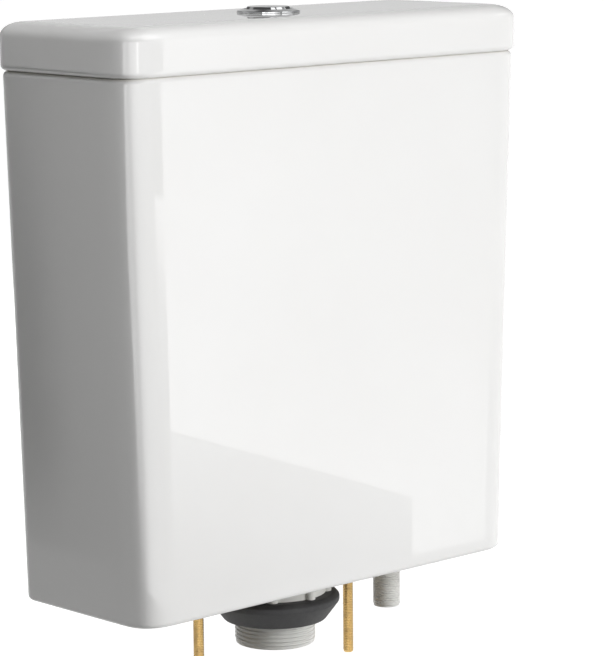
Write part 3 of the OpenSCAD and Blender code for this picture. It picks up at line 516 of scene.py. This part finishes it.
def tank():
    """Tank drawn in towards its foot, with a rounded rim, a coved floor and its holes."""
    def at(inset, z):
        share = 1 - z / TANK_H
        rise = max(0, min(1, (z - EDGE) / (TANK_H - 2 * EDGE)))
        bow = WALL_BOW * 4 * rise * (1 - rise) if inset == 0 else 0
        return plan(TANK_W / 2 - SIDE_TAPER * share, -TANK_D / 2 + FRONT_TAPER * share, TANK_D / 2,
                    FRONT_R, BACK_R, inset, z, bow)

    path = [(EDGE + 4, 0)]
    path += [(-i, z) for i, z in arc(-EDGE, EDGE, EDGE, -90, 0)]
    wall = spaced(EDGE, TANK_H - EDGE, 16)[1:-1]
    path += [(0, z) for z in [EDGE + 1.5, *wall, TANK_H - EDGE - 1.5]]
    path += [(-i, z) for i, z in arc(-EDGE, TANK_H - EDGE, EDGE, 0, 90)]
    path += [(-i, z) for i, z in arc(-WALL + RIM_R, TANK_H - RIM_R, RIM_R, 90, 180, 5)]
    path += [(WALL, TANK_H - RIM_R - 3), (WALL, FLOOR + COVE + 2)]
    path += [(-i, z) for i, z in arc(-WALL - COVE, FLOOR + COVE, COVE, 0, -90)]
    path += [(WALL + COVE + 4, FLOOR)]
    piece = skinned("tank_body", [at(inset, z) for inset, z in path], False)
    holes = [(x, 0, -2, UP, FLOOR + 4, radius) for x, radius in (
        (0, FLUSH_HOLE), (INLET_X, INLET_HOLE), (-BOLT_X, BOLT_HOLE), (BOLT_X, BOLT_HOLE))]
    holes += [(x, TANK_D / 2 - 2 * WALL, SCREW_Z, (0, 1, 0), 2 * WALL + 5, SCREW_HOLE)
              for x in (-SCREW_X, SCREW_X)]
    fit(shade(drill(piece, holes), sharp=42, bevel=0.5), "tank")


def lid():
    """Lid with an oval round along its top, a rounded foot and a lip that drops into the tank."""
    ceiling = LID_FACE - LID_TOP
    lip_foot, lip_inner = LID_Z - LIP_H + LIP_R, LIP_IN + LIP_T

    def outside(inset, z):
        return plan(TANK_W / 2 + LID_OVER, -TANK_D / 2 - LID_OVER, TANK_D / 2, FRONT_R + LID_OVER, BACK_R,
                    inset, z)

    def inside(inset, z):
        return plan(TANK_W / 2, -TANK_D / 2, TANK_D / 2, FRONT_R, BACK_R, inset, z)

    def settled(x, y, z):
        """Fired clay settles: the foot hangs a little lower along the front."""
        ahead = max(0, min(1, (-y - SAG_FROM) / SAG_OVER))
        by_foot = max(0, 1 - (z - LID_Z) / LID_FOOT) if z >= LID_Z else 0
        return x, y, z - LID_SAG * ahead * by_foot

    rings = [outside(LID_ROUND_W + 6, LID_FACE), outside(LID_ROUND_W + 2, LID_FACE)]
    round_z = LID_FACE - LID_ROUND_H
    rings += [outside(-i, z) for i, z in arc(-LID_ROUND_W, round_z, LID_ROUND_W, 90, 0, 16, LID_ROUND_H)]
    rings += [outside(0, round_z - 1), outside(0, LID_Z + LID_FOOT + 1)]
    rings += [outside(-i, z) for i, z in arc(-LID_FOOT, LID_Z + LID_FOOT, LID_FOOT, 0, -90)]
    rings += [outside(LID_FOOT + 1, LID_Z), inside(LIP_IN - LIP_R, LID_Z), inside(LIP_IN, LID_Z - LIP_R)]
    rings += [inside(LIP_IN - i, z) for i, z in arc(-LIP_R, lip_foot, LIP_R, 0, -90, 4)]
    rings += [inside(lip_inner - LIP_R - i, z) for i, z in arc(0, lip_foot, LIP_R, -90, -180, 4)]
    rings += [inside(lip_inner + LID_COVE + i, z) for i, z in arc(0, ceiling - LID_COVE, LID_COVE, 180, 90)]
    rings += [inside(lip_inner + LID_COVE + 3, ceiling)]
    piece = skinned("lid_body", [[settled(*point) for point in ring] for ring in rings], False)
    drill(piece, [(0, 0, ceiling - 2, UP, LID_TOP + 4, SLEEVE_HOLE)])
    fit(shade(piece, sharp=42, bevel=0.5), "lid")


tank()
lid()


# Push buttons

def bezel():
    """Ring that frames the buttons and sits on the lid."""
    z, seat = LID_FACE, SLEEVE_FLANGE_R + 0.05
    ring = turned("bezel_ring", [
        (GUIDE_R, z + 1.25, 0.15), (seat, z + 1.25), (seat, z, 0.1), (BEZEL_R, z, 0.2),
        (BEZEL_R, z + 1.4, 0.5), (18.2, z + 2.8, 0.8), (GUIDE_R, z + 2.1, 0.3)], sides=128)
    fit(shade(ring), "button_bezel")


def button(node, side):
    """One part of the push button: a crowned cap on a skirt, cut off beside the split."""
    z = LID_FACE
    skirt, web, shoulder = z - 19.5, z - 3, z - 3.8
    crown = [(r, z + 4.75 - 0.4 * (r / 15) ** 2) for r in (11.5, 8.0, 4.0, 0.0)]
    piece = turned(node + "_cap", [
        (0, web), (BUTTON_BORE_R, web, 0.4), (BUTTON_BORE_R, skirt), (BUTTON_SKIRT_R, skirt, 0.3),
        (BUTTON_SKIRT_R, shoulder, 0.2), (BUTTON_R, shoulder), (BUTTON_R, z + 1.4, 0.8),
        (15, z + 4.35, 0.9), *crown], sides=128)
    work = bmesh.new()
    work.from_mesh(piece.data)
    bmesh.ops.remove_doubles(work, verts=work.verts, dist=1e-7)
    edge = (BUTTON_SPLIT + SPLIT_GAP * side) * MM
    split = bmesh.ops.bisect_plane(work, geom=work.verts[:] + work.edges[:] + work.faces[:],
                                   plane_co=(edge, 0, 0), plane_no=(-side, 0, 0), clear_outer=True)
    rim = [e for e in split["geom_cut"] if isinstance(e, bmesh.types.BMEdge)]
    bmesh.ops.triangle_fill(work, edges=rim, use_beauty=True)
    bmesh.ops.dissolve_limit(work, angle_limit=math.radians(0.3), verts=work.verts, edges=work.edges)
    bmesh.ops.recalc_face_normals(work, faces=work.faces)
    work.to_mesh(piece.data)
    work.free()
    fit(shade(piece, sharp=50, bevel=0.25), node)


bezel()
button("full_button", 1)
button("half_button", -1)


# Geometry Nodes: what winds or repeats

class Tree:
    """A Geometry Nodes tree with named inputs, a place and a material among them."""

    def __init__(self, name, inputs):
        self.tree = bpy.data.node_groups.new(name, "GeometryNodeTree")
        panel = self.tree.interface
        panel.new_socket("Geometry", in_out="OUTPUT", socket_type="NodeSocketGeometry")
        self.keys = {}
        for label, kind in {**inputs, "Place": "Vector", "Material": "Material"}.items():
            socket = panel.new_socket(label, in_out="INPUT", socket_type="NodeSocket" + kind)
            self.keys[label] = socket.identifier
        self.given = self.tree.nodes.new("NodeGroupInput").outputs

    def add(self, kind, settings, sockets):
        """A node of this kind, with its settings and its sockets' values or links; gives its first output."""
        made = self.tree.nodes.new(kind)
        for name, value in (settings or {}).items():
            setattr(made, name, value)
        for name, value in sockets.items():
            socket = next(s for s in made.inputs if s.name == name and s.enabled)
            if isinstance(value, bpy.types.NodeSocket):
                self.tree.links.new(value, socket)
            else:
                socket.default_value = value
        return made.outputs[0]

    def spiral(self):
        """Path that winds up an upright axis."""
        give = self.given
        return self.add("GeometryNodeCurveSpiral", None, {
            "Resolution": give["Steps"], "Rotations": give["Turns"], "Start Radius": give["Radius"],
            "End Radius": give["Radius"], "Height": give["Rise"]})

    def sweep(self, path, section):
        """Ends the tree in a section swept along a path."""
        return self.end(self.add("GeometryNodeCurveToMesh", None, {
            "Curve": path, "Profile Curve": section, "Fill Caps": True}))

    def end(self, geometry):
        """Ends the tree in a smooth, painted mesh at its place."""
        place, material = self.given["Place"], self.given["Material"]
        placed = self.add("GeometryNodeTransform", None, {"Geometry": geometry, "Translation": place})
        smooth = self.add("GeometryNodeSetShadeSmooth", None, {"Geometry": placed})
        real = self.add("GeometryNodeRealizeInstances", None, {"Geometry": smooth})
        painted = self.add("GeometryNodeSetMaterial", None, {"Geometry": real, "Material": material})
        self.tree.links.new(painted, self.tree.nodes.new("NodeGroupOutput").inputs[0])
        return self

    def make(self, name, **values):
        """A plain mesh piece from the tree with these inputs."""
        piece = new_piece(name, bpy.data.meshes.new(name))
        run = piece.modifiers.new("run", "NODES")
        run.node_group = self.tree
        for label, value in values.items():
            run[self.keys[label]] = value
        return settle(piece)


WINDING = {"Radius": "Float", "Turns": "Float", "Rise": "Float", "Steps": "Int"}


def thread_tree():
    """A screw thread of diamond section."""
    tree = Tree("screw_thread", {**WINDING, "Width": "Float", "Half Height": "Float"})
    path = tree.add("GeometryNodeSetCurveNormal", {"mode": "Z_UP"}, {"Curve": tree.spiral()})
    half = tree.given["Half Height"]
    return tree.sweep(path, tree.add("GeometryNodeCurvePrimitiveQuadrilateral", {"mode": "KITE"}, {
        "Width": tree.given["Width"], "Bottom Height": half, "Top Height": half}))


def coil_tree():
    """A coil spring of round wire."""
    tree = Tree("coil_spring", {**WINDING, "Wire": "Float"})
    return tree.sweep(tree.spiral(), tree.add("GeometryNodeCurvePrimitiveCircle", {"mode": "RADIUS"}, {
        "Resolution": 10, "Radius": tree.given["Wire"]}))


def rib_tree():
    """Round ribs standing in a ring."""
    tree = Tree("grip_ribs", {"Radius": "Float", "Rib": "Float", "Height": "Float", "Count": "Int"})
    give = tree.given
    ring = tree.add("GeometryNodeMeshCircle", None, {"Vertices": give["Count"], "Radius": give["Radius"]})
    rib = tree.add("GeometryNodeMeshCylinder", None, {
        "Vertices": 10, "Radius": give["Rib"], "Depth": give["Height"]})
    return tree.end(tree.add("GeometryNodeInstanceOnPoints", None, {"Points": ring, "Instance": rib}))


THREAD, COIL, RIBS = thread_tree(), coil_tree(), rib_tree()


def thread(name, x, low, high, root, crest, pitch, slot, steps):
    """Screw thread from one height to another, in millimetres; its section takes up a share of the pitch."""
    rise = high - low - pitch
    middle = root + THREAD_SINK
    return THREAD.make(name, Place=(x * MM, 0, (low + pitch / 2) * MM), Radius=middle * MM,
                       Turns=rise / pitch, Rise=rise * MM, Steps=steps, Width=2 * (crest - middle) * MM,
                       Material=FINISH[slot], **{"Half Height": pitch * THREAD_SHARE * MM})


def springs():
    """Return springs of the two buttons."""
    for node, joint, side in (("full_spring", "full_press", 1), ("half_spring", "half_press", -1)):
        coil = COIL.make(node + "_coil", Place=(side * ROD_X * MM, -side * ROD_Y * MM, SPRING_FOOT * MM),
                         Radius=SPRING_R * MM, Wire=SPRING_WIRE * MM, Turns=SPRING_TURNS,
                         Rise=(SPRING_TOP - SPRING_FOOT) * MM, Steps=28, Material=FINISH["steel"])
        fit(coil, node)
        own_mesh(coil)


def sleeve():
    """Threaded sleeve that holds the buttons in the lid."""
    foot, well, face = 379.3, 382.3, LID_FACE
    root = SLEEVE_R - 0.55
    body = turned("sleeve_body", [
        (0, foot), (root, foot, 0.5), (root, face), (SLEEVE_FLANGE_R, face, 0.2),
        (SLEEVE_FLANGE_R, face + 1.2, 0.3), (GUIDE_R, face + 1.2, 0.2), (GUIDE_R, face - 3.5, 0.2),
        (18, face - 3.5, 0.2), (18, well, 0.6), (0, well)], steps=3)
    drill(body, [(side * ROD_X, -side * ROD_Y, foot - 1, UP, 5, ROD_HOLE) for side in (1, -1)])
    ridge = thread("sleeve_thread", 0, foot + 0.5, face - 13, root, SLEEVE_R - 0.02, 2.4, "grey_plastic", 72)
    fit(shade(joined(body, ridge), sharp=40), "button_sleeve")


def flush_base():
    """Valve seat with its threaded tail."""
    foot, bore, neck, crest = -52, 25, 29.1, 29.8
    body = turned("valve_seat", [
        (bore, foot, 0.6), (neck, foot, 1.0), (neck, 16, 0.6), (46, 16, 0.5), (46, 21, 1.2), (33.6, 21, 0.8),
        (32.6, 25, 0.5), (31, 25, 0.5), (bore, 16, 1.5)], sides=112)
    ridge = thread("tail_thread", 0, foot + 1, -13, neck, crest, 3.0, "white_plastic", 96)
    fit(shade(joined(body, ridge), sharp=40), "flush_base")


def fill_shank():
    """Threaded inlet tail with its flange and the stem for the riser."""
    foot, top, bore, stem, neck, crest = -46, 95, 6.5, 9.6, 9.9, 10.45
    body = turned("inlet_tail", [
        (bore, foot, 0.4), (neck, foot, 0.6), (neck, 15, 0.4), (18, 15, 0.4), (18, 19, 0.8), (stem, 23, 1.0),
        (stem, top, 0.4), (bore, top, 0.4)], (INLET_X, 0), 72)
    ridge = thread("inlet_thread", INLET_X, foot + 0.7, -11, neck, crest, 1.814, "white_plastic", 56)
    fit(shade(joined(body, ridge), sharp=40), "fill_shank")


def coupling_bolts():
    """Two brass bolts with six sided, crowned heads."""
    foot, neck, crest = -75, 3.6, 4.0
    pieces = []
    for x in (-BOLT_X, BOLT_X):
        shank = turned("bolt_shank", [(0, foot), (neck, foot, 0.8), (neck, 20), (0, 20)], (x, 0), 40)
        ridge = thread("bolt_thread", x, foot + 0.8, 1, neck, crest, 1.25, "brass", 32)
        head = turned("bolt_head", [(0, 17.5), (8.0, 17.5), (8.0, 22.5), (0, 22.5)], (x, 0), 6)
        crown = turned("bolt_crown", [(0, 17), (7.0, 17), (7.0, 22.0), (5.4, 22.8, 0.3), (0, 23.0)],
                       (x, 0), 48)
        pieces += [shank, ridge, shade(head, sharp=30, bevel=0.6, segments=3), crown]
    fit(shade(joined(*pieces), sharp=40), "coupling_bolts")


springs()
sleeve()
flush_base()
fill_shank()
coupling_bolts()


# Moulded and stamped pieces, from the model's own solids with their edges rounded

def moulded(node, edge, extra=()):
    """A merged copy of a solid, its edges rounded by edge millimetres, with any extra meshes joined to it."""
    mesh = frame["nodes"][node].data.copy()
    work = bmesh.new()
    work.from_mesh(mesh)
    bmesh.ops.remove_doubles(work, verts=work.verts, dist=2e-6)
    bmesh.ops.dissolve_degenerate(work, dist=1e-6, edges=work.edges)
    bmesh.ops.dissolve_limit(work, angle_limit=math.radians(0.6), verts=work.verts, edges=work.edges)
    work.to_mesh(mesh)
    work.free()
    if "custom_normal" in mesh.attributes:
        mesh.attributes.remove(mesh.attributes["custom_normal"])
    piece = shade(new_piece(node + "_piece", mesh), sharp=32, bevel=edge)
    fit(joined(piece, *extra) if extra else piece, node)


def knurl(z):
    """Grip ribs round one of the float's nuts."""
    return RIBS.make("nut_knurl", Place=(FLOAT_X * MM, 0, z * MM), Radius=4.25 * MM, Rib=0.5 * MM,
                     Height=4.4 * MM, Count=20, Material=FINISH["grey_plastic"])


nut_knurls = [knurl(z) for z in FLOAT_NUT_Z]
for node, edge in {
        "lid_buffers": 0.15, "button_nut": 0.6, "button_gasket": 0.3, "full_push_rod": 0.2,
        "half_push_rod": 0.2, "flush_washer": 0.6, "flush_nut": 0.5, "coupling_seal": 0.8, "flush_cage": 0.5,
        "tower_foot": 0.6, "tower_posts": 0.5, "tower_head": 0.4, "full_rocker": 0.6, "half_rocker": 0.6,
        "rocker_pins": 0.25, "overflow_tube": 0.5, "flush_seal": 0.8, "seal_retainer": 0.5,
        "full_lift_link": 0.6, "half_lift_link": 0.6, "full_float": 0.5, "half_float": 0.5,
        "inlet_filter": 0.15, "fill_washer": 0.5, "fill_nut": 0.6, "fill_riser": 0.4, "riser_lock": 0.3,
        "fill_head": 0.5, "fill_diaphragm": 0.4, "fill_cap": 0.3, "fill_lever": 0.6, "lever_pin": 0.25,
        "float_cup": 0.4, "float_link": 0.3, "bolt_seals": 0.5, "bolt_washers": 0.25}.items():
    moulded(node, edge)
moulded("float_nuts", 0.4, nut_knurls)


# Lamps

def lamp(name, middle, aim, width, height, radiance):
    """A soft box that neither the camera nor a reflection sees."""
    light = bpy.data.lights.new(name, "AREA")
    light.shape, light.size, light.size_y = "RECTANGLE", width, height
    light.energy = radiance * math.pi * width * height
    box = bpy.data.objects.new(name, light)
    box.location = middle
    box.rotation_euler = (Vector(aim) - Vector(middle)).to_track_quat("-Z", "Y").to_euler()
    box.visible_camera = box.visible_glossy = False
    bpy.context.scene.collection.objects.link(box)


lamp("key", (1.40, -2.42, 0.62), (0, 0, 0.2), 1.5, 1.5, 9.8)
lamp("upper_left", (-0.62, -0.30, 1.73), (-0.15, -0.05, 0.3), 0.8, 0.8, 5.4)
lamp("fill", (-0.44, -0.44, 0.42), (-0.19, -0.05, 0.2), 0.36, 0.36, 0.62)
lamp("back", (0.75, 1.75, 0.68), (0, 0.07, 0.2), 1.2, 1.0, 5.8)


# Sheets that only reflections see, in metres

CARD_TOP, CARD_FOOT = 0.46, -0.073
FRONT_CARD_Y, FRONT_CARD_LEFT, FRONT_CARD_RIGHT = -0.3, 0.034, 0.418
SILL_TOP, SILL_FALL, SILL_END = 0.076, 0.3525, 0.312
SIDE_CARD_X = -0.44
CORNER_X, CORNER_Y, CORNER_REACH, CORNER_END = -0.18, -0.06, 0.33, 34
DOME_R, DOME_Z = 2.2, 0.41
TO_LID_FRONT, TO_LID_SIDE = (0.68, 0.73, -0.055), (0.624, 0.779, -0.055)


def glow_finish():
    """Light as strong as the sheet's own glow attribute."""
    paint = Paint("sheet_glow")
    level = paint.node("ShaderNodeAttribute", {"attribute_name": "glow"}, None, "Fac")
    return paint.end(paint.node("ShaderNodeEmission", None, {"Color": colour(1, 1, 1), "Strength": level}))


GLOW = glow_finish()


def sheet(name, rows, glow):
    """A sheet through rows of points, each as bright as glow says for it."""
    wide = len(rows[0])
    faces = [(k * wide + i, k * wide + i + 1, k * wide + i + wide + 1, k * wide + i + wide)
             for k in range(len(rows) - 1) for i in range(wide - 1)]
    points = [Vector(p) for row in rows for p in row]
    mesh = bpy.data.meshes.new(name)
    mesh.from_pydata(points, [], faces)
    mesh.attributes.new("glow", "FLOAT", "POINT").data.foreach_set("value", [glow(p) for p in points])
    mesh.materials.append(GLOW)
    piece = new_piece(name, mesh)
    piece.visible_camera = piece.visible_diffuse = piece.visible_shadow = piece.visible_transmission = False


def between(value, *stops):
    """Value read off a line through stops of place and height."""
    for (a, low), (b, high) in zip(stops, stops[1:]):
        if value <= b:
            return low + (high - low) * max(0, value - a) / (b - a)
    return stops[-1][1]


def front_card():
    """Tall window ahead of the front, open to the floor at its right, over a dimmer wall."""
    over_wall = [(x, SILL_TOP - SILL_FALL * (x - FRONT_CARD_LEFT))
                 for x in spaced(FRONT_CARD_LEFT, SILL_END, 12)]
    beside_wall = [(x, CARD_FOOT) for x in spaced(SILL_END + 0.0005, FRONT_CARD_RIGHT, 4)]
    window = [[(x, FRONT_CARD_Y, low + (CARD_TOP - low) * share) for x, low in over_wall + beside_wall]
              for share in spaced(0, 1, 8)]
    wall = [[(x, FRONT_CARD_Y, CARD_FOOT + (high - 0.001 - CARD_FOOT) * share) for x, high in over_wall]
            for share in spaced(0, 1, 4)]
    sheet("front_card", window,
          lambda p: max(1, between(p.z, (0, 3.9), (0.36, 2.8)) - 4.5 * (p.x - FRONT_CARD_LEFT)))
    sheet("front_wall", wall, lambda p: between(p.z, (CARD_FOOT, 1.0), (SILL_TOP, 2.4)))


def side_card():
    """Sheet beyond the left side, dim where the side's back part mirrors it."""
    rows = [[(SIDE_CARD_X, y, z) for y in spaced(0.22, 0.62, 20)]
            for z in (CARD_FOOT, -0.03, 0.03, 0.12, 0.2, 0.33, 0.37, CARD_TOP)]

    def glow(p):
        dim = between(p.y, (0.27, 0), (0.32, 0.12), (0.38, 0.8), (0.42, 0.8), (0.6, 0))
        depth = between(p.z, (CARD_FOOT, 0.2), (-0.03, 0.6), (0.03, 1.1), (0.2, 1), (0.33, 0.7), (0.37, 0.1))
        return 1 - dim * depth

    sheet("side_card", rows, glow)


def corner_card():
    """Curved sheet round the front left corner, with a strip at its left end and a line for the lid."""
    rows = []
    for z, start in ((CARD_FOOT, -62), (0.05, -62), (0.12, -64), (0.2, -71), (0.28, -64), (0.335, -59),
                     (0.345, -59), (0.40, -59), (CARD_TOP, -59)):
        rows.append([(CORNER_X + CORNER_REACH * math.sin(t), CORNER_Y - CORNER_REACH * math.cos(t), z)
                     for t in map(math.radians, spaced(start, CORNER_END, 60))])

    def glow(p):
        turn = math.degrees(math.atan2(p.x - CORNER_X, CORNER_Y - p.y))
        strip = between(p.z, (-0.04, 1.5), (0.08, 4.4))
        lid_line = 5 * max(0, 1 - abs(turn) / 5) if 0.34 < p.z < 0.45 else 0
        return lid_line + between(turn, (-48, strip), (-40, 2.7), (-26, 4.0), (-10, 4.2), (0, 3.4), (20, 2.2),
                                  (CORNER_END, 1.3))

    sheet("corner_card", rows, glow)


def dome():
    """Dark cloth overhead for the plating, white where the glaze's edges mirror it, with two windows."""
    lanes = []
    for view, out in ((TO_LID_FRONT, Vector((0, -1, 0))), (TO_LID_SIDE, Vector((-1, 0, 0)))):
        for tilt in spaced(0, math.pi / 2, 45):
            face = out * math.sin(tilt) + Vector(UP) * math.cos(tilt)
            lanes.append(Vector(view).normalized().reflect(face))

    def glow(p):
        way = (p - Vector((0, 0, DOME_Z))).normalized()
        rise = math.degrees(math.asin(way.z))
        turn = math.degrees(math.atan2(way.x, -way.y))
        near = min(math.degrees(way.angle(lane)) for lane in lanes)
        left_window = -18 < turn < 14 and 48 < rise < 76
        right_window = 20 < turn < 76 and 26 < rise < 64
        if near > 7 and (left_window or right_window):
            return 2.6
        cloth = between(rise, (8, 0.68), (10, 0.15), (74, 0.15), (80, 0.8))
        return max(cloth, between(near, (8, 0.68), (12, 0.15)))

    rows = []
    for rise in map(math.radians, spaced(0, 89, 40)):
        rows.append([(DOME_R * math.sin(t) * math.cos(rise), -DOME_R * math.cos(t) * math.cos(rise),
                      DOME_Z + DOME_R * math.sin(rise)) for t in spaced(0, math.tau, 144)])
    sheet("dome", rows, glow)


front_card()
side_card()
corner_card()
dome()


# Room and floor

def seen_rays(paint):
    """1 for what the eye, a reflection or a clear piece sees, 0 for what lights the piece."""
    eye, gloss, clear = [paint.node("ShaderNodeLightPath", out=kind)
                         for kind in ("Is Camera Ray", "Is Glossy Ray", "Is Transmission Ray")]
    return paint.ease(eye + gloss + clear, 0, 1)


def white_room():
    """World that is white to the eye and in reflections, and dimmer as light."""
    paint = Paint("room", bpy.data.worlds)
    level = paint.ease(seen_rays(paint), 0, 1, 0.04, 1)
    sky = paint.node("ShaderNodeBackground", None, {"Color": colour(1, 1, 1), "Strength": level})
    bpy.context.scene.world = paint.end(sky, "ShaderNodeOutputWorld")


def floor():
    """Pale floor that keeps the shadow and goes over to white in the distance."""
    paint = Paint("pale_floor")
    away = paint.node("ShaderNodeVectorMath", {"operation": "LENGTH"}, {0: paint.where()}, "Value")
    tone = paint.mix(paint.noise(3, 2), colour(0.44, 0.44, 0.437), colour(0.46, 0.46, 0.457))
    matt = paint.node("ShaderNodeBsdfDiffuse", None, {"Color": tone})
    lift = seen_rays(paint) * paint.ease(away, 0.3, 2.5, 0.88, 1)
    bright = paint.node("ShaderNodeEmission", None, {"Color": colour(1, 1, 1), "Strength": lift})
    mesh = bpy.data.meshes.new("floor")
    low, reach = cad_box[0].z - 0.0003, 30
    corners = [(reach * x, reach * y, low) for x, y in ((-1, -1), (1, -1), (1, 1), (-1, 1))]
    mesh.from_pydata(corners, [], [(0, 1, 2, 3)])
    mesh.materials.append(paint.end(paint.node("ShaderNodeAddShader", None, {0: matt, 1: bright})))
    new_piece("floor", mesh)


white_room()
floor()
bpy.context.scene.view_settings.view_transform = "Standard"
